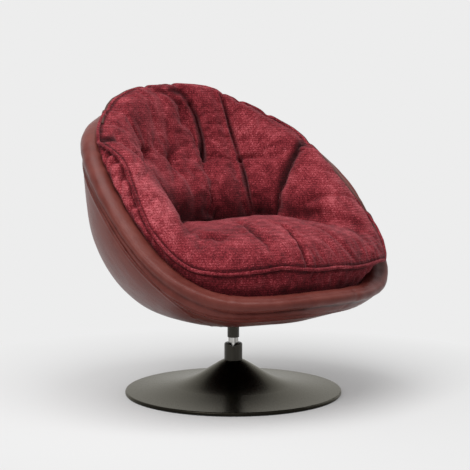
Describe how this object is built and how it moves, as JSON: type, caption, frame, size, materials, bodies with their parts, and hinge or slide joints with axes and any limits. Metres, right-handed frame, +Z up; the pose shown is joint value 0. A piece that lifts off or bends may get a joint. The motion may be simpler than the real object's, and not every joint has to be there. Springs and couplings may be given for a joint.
{
  "type": "swivel armchair",
  "caption": "Tub armchair on a round pedestal: leather-covered shell with a padded rim, a deep plush cushion set and a seat that turns without a stop.",
  "frame": {"origin": "on the floor, under the column's axis", "axes": "+Z up, the chair faces -Y, +X is the sitter's left; rest is the seat facing -Y"},
  "size_m": [0.856, 0.761, 0.852],
  "materials": {
    "bronzed_steel": "satin",
    "floor_rubber": "matte",
    "ballast_iron": "rough",
    "inner_steel": "satin",
    "fastener_steel": "satin",
    "bearing_steel": "bright",
    "bush_plastic": "matte",
    "spindle_chrome": "polished",
    "board_wood": "raw",
    "maroon_leather": "soft sheen",
    "moulded_shell": "matte",
    "padding": "soft",
    "lining": "soft",
    "burgundy_plush": "plush",
    "strip_fabric": "woven"
  },
  "bodies": {
    "base": {"foot_disc": "bronzed_steel", "floor_ring": "floor_rubber", "ballast_plate": "ballast_iron", "column_flange": "inner_steel", "column_tube": "inner_steel", "flange_bolts": "fastener_steel", "flange_washers": "fastener_steel", "flange_nuts": "fastener_steel", "column_sleeve": "bronzed_steel", "lower_bush": "bush_plastic", "upper_bush": "bush_plastic", "lower_race": "bearing_steel", "upper_race": "bearing_steel", "bearing_balls": "bearing_steel"},
    "seat": {"spindle": "spindle_chrome", "seat_hub": "bronzed_steel", "spindle_screw": "fastener_steel", "screw_washer": "fastener_steel", "seat_plate": "inner_steel", "seat_washers": "fastener_steel", "seat_bolts": "fastener_steel", "base_board": "board_wood", "tee_nuts": "fastener_steel", "lower_cover": "maroon_leather", "rim_cover": "maroon_leather", "bucket_shell": "moulded_shell", "rim_padding": "padding", "padded_lining": "lining", "seat_cushion": "burgundy_plush", "wing_cushion_left": "burgundy_plush", "wing_cushion_right": "burgundy_plush", "back_cushion": "burgundy_plush", "fastening_strips": "strip_fabric"}
  },
  "joints": [
    {"name": "seat_swivel", "type": "hinge", "parent": "base", "child": "seat", "pos_m": [0, 0, 0], "axis": [0, 0, 1], "continuous": true}
  ]
}
